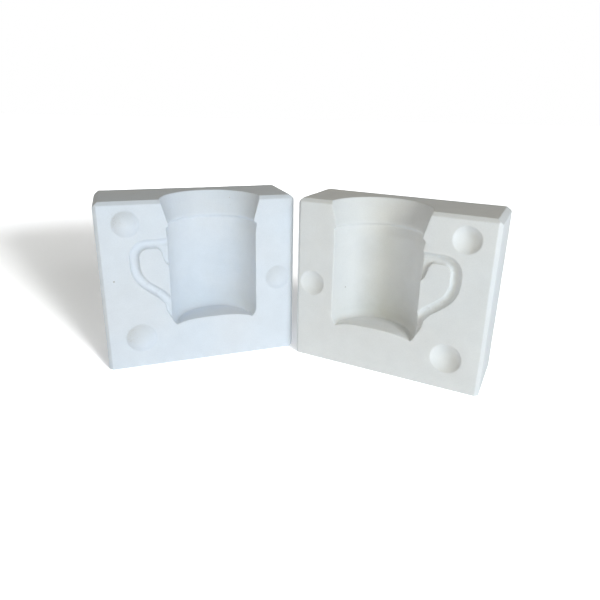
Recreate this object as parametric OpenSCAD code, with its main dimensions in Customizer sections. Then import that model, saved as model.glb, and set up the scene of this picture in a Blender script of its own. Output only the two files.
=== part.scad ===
// Two-piece plaster mold for slip casting a mug.
// The halves stand open like a book on their bottom faces, with the cavity side towards -Y.
// Each half is described by u (along the parting face, outward from the hinge side),
// w (into the plaster, 0 at the parting face) and height.

/* [Block] */
// Width of one half along its parting face
block_w = 205; // [200:1:240]
// Thickness of one half, from parting face to back
block_d = 76; // [64:1:100]
// Height of the mold
block_h = 180; // [176:1:200]
// Chamfer round the parting face
face_chamfer = 3.7; // [2:0.1:5]
// Bevel on the top edges at the sides and back
top_bevel = 5; // [2:0.5:8]
// Bevel on the upright back edges
back_bevel = 2; // [1:0.5:4]

/* [Cavity] */
// Offset of the mug axis from the block centre, towards the hinge side
axis_shift = 12.3; // [8:0.1:16]
// Radius of the mug body
body_r = 46.1; // [42:0.1:48]
// Radius of the mug lip
lip_r = 47.4; // [46.5:0.1:50]
// Radius of the pour funnel at the lip
neck_r = 44.7; // [40:0.1:45]
// Radius of the pour funnel at the top face
funnel_r = 51.3; // [50:0.1:56]
// Height of the foot ring above the bottom face
foot_z = 44.4; // [38:0.1:48]
// Radius of the corner between body and foot
foot_round = 14; // [8:0.5:16]
// Rise of the domed floor inside the foot ring
recess_h = 5.2; // [3:0.1:7]
// Height of the lip
lip_z = 150.4; // [148:0.1:152]
// Height where the pour funnel starts to widen
neck_z = 155.8; // [155:0.1:160]

/* [Handle] */
// Thickness of the handle strap, seen on the parting face
strap_t = 9.4; // [7:0.1:9.6]
// Width of the whole handle strap, half of it in each mold half
strap_w = 12.5; // [11:0.5:14]
// Distance of the strap centre line from the block centre at the grip
grip_u = 67.5; // [65:0.5:70]

/* [Natches] */
// Radius of the upper natch
upper_natch_r = 13.2; // [10:0.1:14]
// Rise of the upper natch
upper_natch_h = 6.5; // [4:0.1:7]
// Radius of the lower natch
lower_natch_r = 15.2; // [12:0.1:16]
// Rise of the lower natch
lower_natch_h = 7.5; // [5:0.1:8]
// Radius of the natch on the hinge side
inner_natch_r = 13.3; // [10:0.1:13.3]
// Rise of the natch on the hinge side
inner_natch_h = 5.2; // [3:0.1:5.2]
// Play between a natch and its hollow
natch_play = 0.3; // [0.2:0.05:0.5]

/* [Stance] */
// Angle of the left half to the X axis
left_angle = 19.6; // [10:0.1:40]
// Angle of the right half to the X axis
right_angle = 26.3; // [10:0.1:40]
// Gap between the parting faces when closed
parting_gap = 0.3; // [0.2:0.1:0.6]

/* [Hidden] */
$fn = 96;
// the line the halves swing about, beside the hinge-side faces
pole_out = 2;
pole_in = 8;
half_w = block_w / 2;
over = 20;

// upright corners of a half, as u and w
footprint = [
    [-half_w, face_chamfer],
    [-half_w + face_chamfer, 0],
    [half_w - face_chamfer, 0],
    [half_w, face_chamfer],
    [half_w, block_d - back_bevel],
    [half_w - back_bevel, block_d],
    [-half_w + back_bevel, block_d],
    [-half_w, block_d - back_bevel]
];

// where the pole lies in each half's own u and w
left_pole = [-half_w - pole_out, -pole_in - parting_gap / 2];
right_pole = [-half_w - pole_out, pole_in - parting_gap / 2];

function turned(p, a) = [p[0] * cos(a) - p[1] * sin(a), p[0] * sin(a) + p[1] * cos(a)];
function left_xy(p) = turned([left_pole[0] - p[0], p[1] - left_pole[1]], left_angle);
function right_xy(p) = turned([p[0] - right_pole[0], p[1] - right_pole[1]], -right_angle);
all_x = concat([for (p = footprint) left_xy(p)[0]], [for (p = footprint) right_xy(p)[0]]);
all_y = concat([for (p = footprint) left_xy(p)[1]], [for (p = footprint) right_xy(p)[1]]);
// the origin lies under the middle of the two halves
pole_x = -(max(all_x) + min(all_x)) / 2;
pole_y = -(max(all_y) + min(all_y)) / 2;
echo(pole = [pole_x, pole_y], range = left_angle + right_angle);

// plaster block with chamfered parting face and bevelled top
module block() {
    intersection() {
        linear_extrude(block_h)
            polygon(footprint);
        // as seen from the front
        translate([0, block_d + 1, 0])
            rotate([90, 0, 0])
                linear_extrude(block_d + 2)
                    polygon([
                        [-half_w - 1, 0],
                        [half_w + 1, 0],
                        [half_w + 1, block_h - top_bevel - 1],
                        [half_w - top_bevel, block_h],
                        [-half_w + top_bevel, block_h],
                        [-half_w - 1, block_h - top_bevel - 1]
                    ]);
        // as seen from the side
        translate([-half_w - 1, 0, 0])
            rotate([90, 0, 90])
                linear_extrude(block_w + 2)
                    polygon([
                        [0, 0],
                        [block_d + 1, 0],
                        [block_d + 1, block_h - top_bevel - 1],
                        [block_d - top_bevel, block_h],
                        [face_chamfer, block_h],
                        [0, block_h - face_chamfer]
                    ]);
    }
}

// outline of mug and pour funnel from the axis outwards
// the corner turns this far before it meets the foot ring
foot_turn = 46;
foot_r = body_r - foot_round * (1 - cos(foot_turn));
corner_z = foot_z + foot_round * sin(foot_turn);
funnel_slope = (funnel_r - neck_r) / (block_h - neck_z);
cavity_outline = concat(
    // floor of the mug, domed up from a narrow foot ring
    [
        [0, foot_z + recess_h],
        [foot_r * 0.19, foot_z + recess_h],
        [foot_r * 0.55, foot_z + recess_h * 0.85],
        [foot_r * 0.72, foot_z + recess_h * 0.64],
        [foot_r * 0.86, foot_z + recess_h * 0.4],
        [foot_r - 0.7, foot_z]
    ],
    [for (i = [-6:0]) [
        body_r - foot_round * (1 - cos(foot_turn * i / 6)),
        corner_z + foot_round * sin(foot_turn * i / 6)
    ]],
    [
        [body_r, lip_z - 10],
        [lip_r - 0.5, lip_z - 3],
        [lip_r, lip_z - 1],
        [lip_r - 0.3, lip_z + 0.7],
        [lip_r - 1.2, lip_z + 1.8],
        [neck_r, lip_z + 2.4],
        [neck_r, neck_z],
        [funnel_r + funnel_slope * 5, block_h + 5],
        [0, block_h + 5]
    ]
);

module cavity() {
    translate([-axis_shift, 0, 0])
        rotate_extrude()
            polygon(cavity_outline);
}

// section of the handle strap: flat sides with round edges
strap_r = strap_t / 2;
strap_out = strap_w / 2 - strap_r;

module strap_section(grow = 0) {
    for (s = [-1, 1])
        translate([0, s * strap_out])
            circle(strap_r + grow);
    square([strap_t + 2 * grow, 2 * strap_out], center = true);
}

// straight stretch of the strap from a point, heading along angle a
module strap_run(p, a, len, grow = 0) {
    translate([p[0], 0, p[1]])
        rotate([0, 90 - a, 0])
            linear_extrude(len)
                strap_section(grow);
}

// curved stretch of the strap about a centre, from angle a0 over da
module strap_bend(c, r, a0, da) {
    translate([c[0], 0, c[1]])
        rotate([90, 0, 0])
            rotate([0, 0, a0])
                rotate_extrude(angle = da)
                    translate([r, 0])
                        strap_section();
}

// handle: top arm, corner, grip, sweep back to the body and a tail down to the foot
wall_u = body_r - axis_shift;
arm_z = lip_z - 15;
arm_low = arm_z - strap_r;
web_d = 4.6;
corner_r = 13.5;
corner = [grip_u - corner_r, arm_z - corner_r];
sweep_r = 30;
sweep_turn = 51.5;
// a straight grip joins the two bends
grip_len = 7.7;
sweep = [grip_u - sweep_r, corner[1] - grip_len];
sweep_end = [
    sweep[0] + sweep_r * cos(sweep_turn),
    sweep[1] - sweep_r * sin(sweep_turn)
];
lower_len = 13.8;
lower_end = [
    sweep_end[0] - lower_len * sin(sweep_turn),
    sweep_end[1] - lower_len * cos(sweep_turn)
];
tail_r = 31 + strap_r;
tail = [
    lower_end[0] + tail_r * cos(sweep_turn),
    lower_end[1] - tail_r * sin(sweep_turn)
];
tail_turn = 10;
tip = [tail[0] - tail_r * cos(tail_turn), tail[1] + tail_r * sin(tail_turn)];

// web filling the inner corner under the top arm
module root_web() {
    translate([0, web_d, 0])
        rotate([90, 0, 0])
            linear_extrude(web_d + 3)
                polygon([
                    [wall_u - 5, arm_low + 1],
                    [wall_u + 12, arm_low + 1],
                    [wall_u + 10.2, arm_low - 0.5],
                    [wall_u + 8.2, arm_low - 1.8],
                    [wall_u + 6.9, arm_low - 4.2],
                    [wall_u + 6, arm_low - 7.6],
                    [wall_u + 4.8, arm_low - 12.4],
                    [wall_u + 3, arm_low - 16.6],
                    [wall_u - 0.4, arm_low - 19.6],
                    [wall_u - 5, arm_low - 19.6]
                ]);
}

// tail of the lower arm, tapering down to the foot
module foot_web() {
    translate([0, web_d, 0])
        rotate([90, 0, 0])
            linear_extrude(web_d + 3)
                polygon([
                    [tip[0] + strap_r + 3.2, tip[1] + 7.7],
                    [tip[0] + strap_r + 1.7, tip[1] + 0.9],
                    [wall_u + 1.8, tip[1] - 5.6],
                    [wall_u - 1, tip[1] - 10.2],
                    [wall_u - 2.6, foot_z + 2.8],
                    [wall_u - 8, foot_z + 12],
                    [wall_u - 8, tip[1] + 7.7]
                ]);
}

module handle() {
    strap_run([wall_u - 6, arm_z], 0, corner[0] - wall_u + 6);
    strap_bend(corner, corner_r, 0, 90);
    strap_run([grip_u, sweep[1] - 0.5], 90, grip_len + 1, 0.05);
    strap_bend(sweep, sweep_r, -sweep_turn, sweep_turn);
    strap_run(sweep_end, 270 - sweep_turn, lower_len);
    strap_bend(tail, tail_r, 180 - sweep_turn, sweep_turn - tail_turn);
    root_web();
    foot_web();
}

// natches as u, height, radius and rise
natches = [
    [73.3, 157.4, upper_natch_r, upper_natch_h],
    [66.8, 33.7, lower_natch_r, lower_natch_h],
    [-83, 88, inner_natch_r, inner_natch_h]
];
function ball_r(r, h) = (r * r + h * h) / (2 * h);

// caps standing out of the parting face; grown by play to make the hollows
module natch_caps(play) {
    for (n = natches)
        translate([n[0], ball_r(n[2], n[3]) - n[3], n[1]])
            sphere(ball_r(n[2], n[3]) + play);
}

module natch_domes() {
    intersection() {
        natch_caps(0);
        translate([-half_w, -over, 0])
            cube([block_w, over + 1, block_h]);
    }
}

module natch_hollows() {
    // mirrored, because the hollows sink into this half
    intersection() {
        mirror([0, 1, 0])
            natch_caps(natch_play);
        translate([-half_w, -1, 0])
            cube([block_w, over + 1, block_h]);
    }
}

module left_half() {
    color("gainsboro")
        translate([pole_x, pole_y, 0])
            rotate([0, 0, left_angle])
                translate([left_pole[0], -left_pole[1], 0])
                    mirror([1, 0, 0])
                        difference() {
                            union() {
                                block();
                                natch_domes();
                            }
                            cavity();
                            handle();
                        }
}

module right_half() {
    color("gainsboro")
        translate([pole_x, pole_y, 0])
            rotate([0, 0, -right_angle])
                translate([-right_pole[0], -right_pole[1], 0])
                    difference() {
                        block();
                        cavity();
                        handle();
                        natch_hollows();
                    }
}

left_half();
right_half();
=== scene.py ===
"""Two-piece plaster mold for a mug, standing open: looks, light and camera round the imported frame."""
import math

import bmesh
import bpy
import numpy as np
from mathutils import Matrix, Vector, noise


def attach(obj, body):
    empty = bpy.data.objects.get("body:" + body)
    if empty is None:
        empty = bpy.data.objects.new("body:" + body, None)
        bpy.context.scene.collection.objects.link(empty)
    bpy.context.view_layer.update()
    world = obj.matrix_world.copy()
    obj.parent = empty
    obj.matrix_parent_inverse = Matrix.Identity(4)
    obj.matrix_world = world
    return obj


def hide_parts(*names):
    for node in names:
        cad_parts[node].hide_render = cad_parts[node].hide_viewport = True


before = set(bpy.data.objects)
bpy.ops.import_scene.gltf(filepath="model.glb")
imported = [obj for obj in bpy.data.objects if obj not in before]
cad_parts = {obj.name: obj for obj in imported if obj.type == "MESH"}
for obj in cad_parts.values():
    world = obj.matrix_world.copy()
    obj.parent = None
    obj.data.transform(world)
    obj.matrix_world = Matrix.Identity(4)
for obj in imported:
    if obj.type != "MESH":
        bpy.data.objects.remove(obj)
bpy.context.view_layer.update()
scene = bpy.context.scene

# how a half is cast from its CAD mesh, in metres
WELD = 1e-6  # points closer than this are one point
VOXEL = 0.0007  # edge of one remesh cell
EASE_FACTOR = 0.5  # strength of one smoothing pass
EASE_PASSES = 3
BROAD_WAVE = (26, 0.00016)  # waves per metre and height of the broad waviness
FINE_WAVE = (90, 0.00005)  # the same of the finer one
FLAT_BASE = 0.0008  # the waviness leaves everything below this height alone
INSET = 1e-6  # the cast stays this far inside its block
TRIANGLES = 150000  # kept of each half

# marks in the plaster, in metres or as a share of a pit's radius
PIT_CORE = 0.6  # a pit is fully sunk and fully darkened with painted shade out to here
PIT_RIM = 1.3  # and gone beyond here
CRUMBS_INNER = 0.004  # a crumbly patch is at full strength out to here
CRUMBS_OUTER = 0.012

# the studio, in metres
FLOOR_SIZE = 14
FLOOR_GAP = 0.0005  # the bounce floor lies this far under the seen one
TARGET = Vector((0, -0.02, 0.09))  # the lights point here
LIGHT_DISTANCE = 2.1
LIGHT_SIZE = 0.7

# ---------------------------------------------------------------- node helpers


def empty_tree(owner):
    """The owner's node tree with nothing in it, its nodes and its links."""
    owner.use_nodes = True
    tree = owner.node_tree
    tree.nodes.clear()
    return tree, tree.nodes, tree.links


def grey(v):
    return (v, v, v, 1)


def noise_at(tree, vector, scale, detail, rough=0.5, distortion=0.0):
    """Value of a noise texture at a vector; scale is its waves per metre."""
    n = tree.nodes.new("ShaderNodeTexNoise")
    n.inputs["Scale"].default_value = scale
    n.inputs["Detail"].default_value = detail
    n.inputs["Roughness"].default_value = rough
    n.inputs["Distortion"].default_value = distortion
    tree.links.new(vector, n.inputs["Vector"])
    return n.outputs["Fac"]


def ramp(tree, source, stops):
    """Colour of a source value, from (position, colour) stops."""
    r = tree.nodes.new("ShaderNodeValToRGB")
    elements = r.color_ramp.elements
    elements[0].position, elements[0].color = stops[0]
    elements[1].position, elements[1].color = stops[-1]
    for position, colour in stops[1:-1]:
        elements.new(position).color = colour
    tree.links.new(source, r.inputs[0])
    return r.outputs[0]


def mix(tree, kind, amount, a, b):
    """Blend of colours a and b; the amount is a number or an output."""
    m = tree.nodes.new("ShaderNodeMix")
    m.data_type = "RGBA"
    m.blend_type = kind
    factor, first, second = m.inputs[0], m.inputs[6], m.inputs[7]
    if isinstance(amount, float):
        factor.default_value = amount
    else:
        tree.links.new(amount, factor)
    tree.links.new(a, first)
    tree.links.new(b, second)
    return m.outputs[2]


def map_range(tree, source, from_min, from_max, to_min, to_max):
    n = tree.nodes.new("ShaderNodeMapRange")
    n.inputs["From Min"].default_value = from_min
    n.inputs["From Max"].default_value = from_max
    n.inputs["To Min"].default_value = to_min
    n.inputs["To Max"].default_value = to_max
    tree.links.new(source, n.inputs["Value"])
    return n.outputs[0]


def near(tree, vector, point, inner, outer):
    """1 within inner of a point, fading to 0 at outer."""
    span = tree.nodes.new("ShaderNodeVectorMath")
    span.operation = "DISTANCE"
    span.inputs[1].default_value = point
    tree.links.new(vector, span.inputs[0])
    return map_range(tree, span.outputs["Value"], inner, outer, 1, 0)


def bump(tree, height, strength, distance, normal=None):
    """Bump node that raises a surface by a height, on top of another normal."""
    n = tree.nodes.new("ShaderNodeBump")
    n.inputs["Strength"].default_value = strength
    n.inputs["Distance"].default_value = distance
    tree.links.new(height, n.inputs["Height"])
    if normal is not None:
        tree.links.new(normal, n.inputs["Normal"])
    return n


# ---------------------------------------------------------------- plaster


def plaster_colour(tree, vector, cool, warm):
    """Broad damp and dry patches, then cloudy mottling, then speckle."""
    broad = noise_at(tree, vector, scale=9, detail=3, distortion=0.4)
    cloudy = noise_at(tree, vector, scale=45, detail=5, rough=0.6)
    fine = noise_at(tree, vector, scale=900, detail=3, rough=0.6)
    patches = ramp(tree, broad, [(0.36, warm), (0.64, cool)])
    clouds = ramp(tree, cloudy, [(0.3, grey(0.955)), (0.7, grey(1.0))])
    speck = ramp(tree, fine, [(0.3, grey(0.965)), (0.65, grey(1.0))])
    colour = mix(tree, "MULTIPLY", 1.0, patches, clouds)
    return mix(tree, "MULTIPLY", 1.0, colour, speck)


def pinholes(tree, vector, point, pits, rough_spots):
    """Mask of scattered pinholes, the single pits and the crumbly patches, for their dents and the painted
    shade in them.
    """
    cells = tree.nodes.new("ShaderNodeTexVoronoi")
    cells.inputs["Scale"].default_value = 95
    tree.links.new(vector, cells.inputs["Vector"])
    hole = ramp(tree, cells.outputs["Distance"], [(0.0, grey(1)), (0.045, grey(1)), (0.075, grey(0))])
    # only a few cells have a hole
    gate = ramp(tree, noise_at(tree, vector, scale=30, detail=2), [(0.66, grey(0)), (0.7, grey(1))])
    mask = mix(tree, "MULTIPLY", 1.0, hole, gate)
    for x, y, z, r in pits:
        mask = mix(tree, "LIGHTEN", 1.0, mask, near(tree, point, (x, y, z), r * PIT_CORE, r * PIT_RIM))
    grit = noise_at(tree, vector, scale=620, detail=2, rough=0.7)
    crumbs = ramp(tree, grit, [(0.52, grey(0)), (0.66, grey(0.3))])
    for spot in rough_spots:
        patch = mix(tree, "MULTIPLY", 1.0, crumbs, near(tree, point, spot, CRUMBS_INNER, CRUMBS_OUTER))
        mask = mix(tree, "LIGHTEN", 1.0, mask, patch)
    return mask


def plaster(name, cool, warm, seed, pits, rough_spots):
    """Dry pottery plaster: chalky, slightly mottled, with fine grain and pinholes; painted shade darkens
    the pinholes, pits, crumbs and inner corners.

    pits are single air-bubble holes as x, y, z and radius; rough_spots are crumbly patches as x, y, z.
    """
    material = bpy.data.materials.new(name)
    tree, nodes, links = empty_tree(material)
    out = nodes.new("ShaderNodeOutputMaterial")
    bsdf = nodes.new("ShaderNodeBsdfPrincipled")
    links.new(bsdf.outputs[0], out.inputs[0])
    bsdf.inputs["Specular IOR Level"].default_value = 0.18
    bsdf.inputs["Sheen Weight"].default_value = 0.08
    bsdf.inputs["Sheen Roughness"].default_value = 0.6

    # the two halves show different parts of the same textures
    point = nodes.new("ShaderNodeTexCoord").outputs["Object"]
    place = nodes.new("ShaderNodeMapping")
    place.inputs["Location"].default_value = (seed, seed * 0.37, seed * 0.71)
    links.new(point, place.inputs["Vector"])
    vector = place.outputs[0]

    pin = pinholes(tree, vector, point, pits, rough_spots)
    # painted shade: the holes, pits and crumbs are darkened towards this grey, on top of their bump
    hole_shade = nodes.new("ShaderNodeRGB")
    hole_shade.outputs[0].default_value = (0.56, 0.55, 0.53, 1)
    colour = mix(tree, "MIX", pin, plaster_colour(tree, vector, cool, warm), hole_shade.outputs[0])

    # painted shade darkens the inner corners and creases; outer arrises are a touch lighter
    pointiness = nodes.new("ShaderNodeNewGeometry").outputs["Pointiness"]
    corner_shade_light_edges = ramp(tree, pointiness, [(0.42, grey(0.93)), (0.5, grey(0.985)), (0.58, grey(1.0))])
    links.new(mix(tree, "MULTIPLY", 1.0, colour, corner_shade_light_edges), bsdf.inputs["Base Color"])

    uneven = noise_at(tree, vector, scale=60, detail=4, rough=0.6)
    links.new(map_range(tree, uneven, 0, 1, 0.78, 0.96), bsdf.inputs["Roughness"])

    # grain, faint waves and pinholes as bump
    sandy = noise_at(tree, vector, scale=1400, detail=4, rough=0.65)
    grain = bump(tree, sandy, strength=0.12, distance=0.0004)
    rolling = noise_at(tree, vector, scale=120, detail=3, rough=0.55)
    wave = bump(tree, rolling, strength=0.10, distance=0.002, normal=grain.outputs[0])
    dents = bump(tree, pin, strength=0.6, distance=0.0008, normal=wave.outputs[0])
    dents.invert = True
    links.new(dents.outputs[0], bsdf.inputs["Normal"])
    return material


# both halves are one plaster: the left half's bluer colours are painted light, the cool window light on
# the face turned towards it
plaster_left = plaster(
    "plaster_left",
    cool=(0.80, 0.86, 0.93, 1),
    warm=(0.82, 0.855, 0.90, 1),
    seed=3.1,
    pits=[(-0.1811, -0.0476, 0.0989, 0.0009)],
    rough_spots=[(-0.1735, -0.0440, 0.1610), (-0.1675, -0.0425, 0.0370)],
)
plaster_right = plaster(
    "plaster_right",
    cool=(0.86, 0.88, 0.885, 1),
    warm=(0.87, 0.875, 0.865, 1),
    seed=8.7,
    pits=[(0.0567, -0.0005, 0.0817, 0.0008)],
    rough_spots=[],
)

# ---------------------------------------------------------------- plaster halves


def facing(obj):
    """Angle about Z of a half's own width direction, from its largest upright flat faces."""
    area = {}
    for p in obj.data.polygons:
        if abs(p.normal.z) < 0.01:
            angle = round(math.degrees(math.atan2(p.normal.y, p.normal.x)) % 180, 1)
            area[angle] = area.get(angle, 0) + p.area
    turn = (max(area, key=area.get) - 90) % 180
    return math.radians(turn - 180 if turn > 90 else turn)


def apply_modifiers(obj):
    """Gives the object the mesh that its modifiers make, and returns it."""
    deps = bpy.context.evaluated_depsgraph_get()
    mesh = bpy.data.meshes.new_from_object(obj.evaluated_get(deps))
    obj.modifiers.clear()
    old = obj.data
    obj.data = mesh
    bpy.data.meshes.remove(old)
    return mesh


def weld(mesh):
    """Joins the faces that the frame keeps apart."""
    bm = bmesh.new()
    bm.from_mesh(mesh)
    bmesh.ops.remove_doubles(bm, verts=bm.verts, dist=WELD)
    bm.to_mesh(mesh)
    bm.free()


def read_points(collection, attribute, count):
    """A mesh attribute of three numbers a point, as rows."""
    flat = np.empty(count * 3)
    collection.foreach_get(attribute, flat)
    return flat.reshape(-1, 3)


def make_wavy(mesh, low, high, seed):
    """Hand-made surfaces are never dead flat; nothing stands out past the block from low to high."""
    count = len(mesh.vertices)
    points = read_points(mesh.vertices, "co", count)
    normals = read_points(mesh.vertex_normals, "vector", count)
    shift = Vector((seed, seed * 2.3, -seed))
    rate, height = BROAD_WAVE
    wave = np.array([noise.noise(Vector(c) * rate + shift) for c in points]) * height
    rate, height = FINE_WAVE
    wave += np.array([noise.noise(Vector(c) * rate - shift) for c in points]) * height
    # the base stays flat, so the half still stands flush
    wave[points[:, 2] < FLAT_BASE] = 0
    points += normals * wave[:, None]
    points = np.clip(points, low + INSET, high - INSET)
    points[:, 2] = np.where(points[:, 2] < 2 * INSET, low[2], points[:, 2])
    mesh.vertices.foreach_set("co", points.ravel())


def cast(node, name, material, body, seed):
    """A soft-edged plaster cast of a CAD half, remeshed square to its own faces."""
    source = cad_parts[node]
    turn = Matrix.Rotation(facing(source), 4, "Z")
    mesh = source.data.copy()
    mesh.transform(turn.inverted())
    obj = bpy.data.objects.new(name, mesh)
    scene.collection.objects.link(obj)
    corners = np.array([v.co[:] for v in mesh.vertices])
    low, high = corners.min(axis=0), corners.max(axis=0)
    weld(mesh)

    remesh = obj.modifiers.new("cells", "REMESH")
    remesh.mode = "VOXEL"
    remesh.voxel_size = VOXEL
    remesh.adaptivity = 0.0
    ease = obj.modifiers.new("ease", "SMOOTH")
    ease.factor = EASE_FACTOR
    ease.iterations = EASE_PASSES
    mesh = apply_modifiers(obj)

    make_wavy(mesh, low, high, seed)
    mesh.transform(turn)
    mesh.update()

    thin = obj.modifiers.new("thin", "DECIMATE")
    # a remesh face is two triangles
    thin.ratio = min(1.0, TRIANGLES / (2 * len(mesh.polygons)))
    mesh = apply_modifiers(obj)

    mesh.materials.clear()
    mesh.materials.append(material)
    mesh.shade_smooth()
    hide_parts(node)
    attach(obj, body)


cast("left_half", "left_mold_half", plaster_left, "left_half", 1.7)
cast("right_half", "right_mold_half", plaster_right, "right_half", 5.3)

# ---------------------------------------------------------------- floor


def floor_material(name, base, glow):
    """Pale matte floor material with a little light of its own in the glow colour, and its shader."""
    material = bpy.data.materials.new(name)
    nodes, links = empty_tree(material)[1:]
    out = nodes.new("ShaderNodeOutputMaterial")
    bsdf = nodes.new("ShaderNodeBsdfPrincipled")
    bsdf.inputs["Base Color"].default_value = grey(base)
    bsdf.inputs["Roughness"].default_value = 0.9
    bsdf.inputs["Specular IOR Level"].default_value = 0.0
    bsdf.inputs["Emission Color"].default_value = glow
    links.new(bsdf.outputs[0], out.inputs[0])
    return material, bsdf


def floor_plane(name, height, material):
    mesh = bpy.data.meshes.new(name)
    s = FLOOR_SIZE / 2
    corners = [(-s, -s, height), (s, -s, height), (s, s, height), (-s, s, height)]
    mesh.from_pydata(corners, [], [(0, 1, 2, 3)])
    mesh.materials.append(material)
    obj = bpy.data.objects.new(name, mesh)
    scene.collection.objects.link(obj)
    return obj


def bounce_floor():
    """The floor that sends soft, slightly cool light back up to the mold; the camera doesn't see it."""
    material, shader = floor_material("bounce_white", 0.80, (0.84, 0.88, 1.0, 1))
    shader.inputs["Emission Strength"].default_value = 0.37
    floor = floor_plane("bounce_floor", -FLOOR_GAP, material)
    floor.visible_camera = False


def seen_floor():
    """The floor that is seen: it lights nothing, and its own light grows further out."""
    material, shader = floor_material("floor_white", 0.98, (0.87, 0.92, 1.0, 1))
    tree = material.node_tree
    coord = tree.nodes.new("ShaderNodeTexCoord")
    span = tree.nodes.new("ShaderNodeVectorMath")
    span.operation = "LENGTH"
    tree.links.new(coord.outputs["Object"], span.inputs[0])
    strength = map_range(tree, span.outputs["Value"], from_min=0.75, from_max=1.5, to_min=0.26, to_max=1.1)
    tree.links.new(strength, shader.inputs["Emission Strength"])
    floor = floor_plane("floor", 0, material)
    floor.visible_diffuse = False
    floor.visible_glossy = False
    floor.visible_transmission = False
    floor.visible_shadow = False
    return floor


bounce_floor()
floor = seen_floor()

# ---------------------------------------------------------------- light


def toward(azimuth, elevation):
    """Direction from the mold to a light, in degrees; azimuth is to the right of the camera's side."""
    a, e = math.radians(azimuth), math.radians(elevation)
    return Vector((math.sin(a) * math.cos(e), -math.cos(a) * math.cos(e), math.sin(e)))


def light(name, kind, azimuth, elevation, power):
    """A light of one kind in one direction from the mold, shining at it."""
    data = bpy.data.lights.new(name, kind)
    data.energy = power
    obj = bpy.data.objects.new(name, data)
    scene.collection.objects.link(obj)
    away = toward(azimuth, elevation)
    obj.location = TARGET + away * LIGHT_DISTANCE
    obj.rotation_euler = (-away).to_track_quat("-Z", "Y").to_euler()
    return obj


def softbox(name, azimuth, elevation, power, colour):
    data = light(name, "AREA", azimuth, elevation, power).data
    data.shape = "SQUARE"
    data.size = LIGHT_SIZE
    data.color = colour


def floor_wash(azimuth, elevation, power, spread, floor):
    """A low sun on the floor alone, which draws the mold's long soft shadow; spread is in degrees."""
    sun = light("floor_wash", "SUN", azimuth, elevation, power)
    sun.data.angle = math.radians(spread)
    washed = bpy.data.collections.new("washed")
    washed.objects.link(floor)
    sun.light_linking.receiver_collection = washed


def studio_world(sky, strength):
    """Even light all round in the sky colour, seen by the camera as plain white."""
    world = bpy.data.worlds.new("studio")
    scene.world = world
    nodes, links = empty_tree(world)[1:]
    out = nodes.new("ShaderNodeOutputWorld")
    both = nodes.new("ShaderNodeMixShader")
    path = nodes.new("ShaderNodeLightPath")
    lit = nodes.new("ShaderNodeBackground")
    lit.inputs["Color"].default_value = sky
    lit.inputs["Strength"].default_value = strength
    shown = nodes.new("ShaderNodeBackground")
    shown.inputs["Color"].default_value = grey(1)
    shown.inputs["Strength"].default_value = 1.0
    links.new(path.outputs["Is Camera Ray"], both.inputs[0])
    links.new(lit.outputs[0], both.inputs[1])
    links.new(shown.outputs[0], both.inputs[2])
    links.new(both.outputs[0], out.inputs[0])


softbox("key", azimuth=35, elevation=25, power=13.7, colour=(1.0, 1.0, 1.0))
softbox("window", azimuth=35, elevation=4, power=8.5, colour=(0.35, 0.62, 1.0))
softbox("lamp", azimuth=18, elevation=4, power=8.0, colour=(0.98, 1.0, 0.75))
softbox("ceiling", azimuth=-50, elevation=35, power=3.9, colour=(1.0, 0.87, 0.66))
softbox("back_fill", azimuth=180, elevation=3, power=12.0, colour=(1.0, 0.98, 0.95))
floor_wash(azimuth=40, elevation=13, power=6.4, spread=10, floor=floor)
studio_world(sky=(1.0, 0.98, 0.89, 1), strength=0.178)

# ---------------------------------------------------------------- camera


def place_camera(location, pitch, roll, lens, shift):
    """The camera looks along +Y and down by pitch, tilted sideways by roll, both in degrees."""
    p, r = math.radians(pitch), math.radians(roll)
    ahead = Vector((0, math.cos(p), -math.sin(p)))
    level = Vector((1, 0, 0))
    upward = level.cross(ahead)
    side = level * math.cos(r) + upward * math.sin(r)
    top = -level * math.sin(r) + upward * math.cos(r)
    camera = bpy.data.objects.new("camera", bpy.data.cameras.new("camera"))
    scene.collection.objects.link(camera)
    turn = Matrix((side, top, -ahead)).transposed()
    camera.matrix_world = Matrix.Translation(location) @ turn.to_4x4()
    camera.data.sensor_width = 36
    camera.data.lens = lens
    camera.data.shift_x, camera.data.shift_y = shift
    camera.data.clip_start = 0.01
    scene.camera = camera


place_camera(
    location=(0.0078, -0.5338, 0.2763),
    pitch=18.89,
    roll=1.24,
    lens=30.76,
    shift=(-0.0022, -0.0406),
)
scene.view_settings.view_transform = "Standard"
scene.view_settings.look = "None"
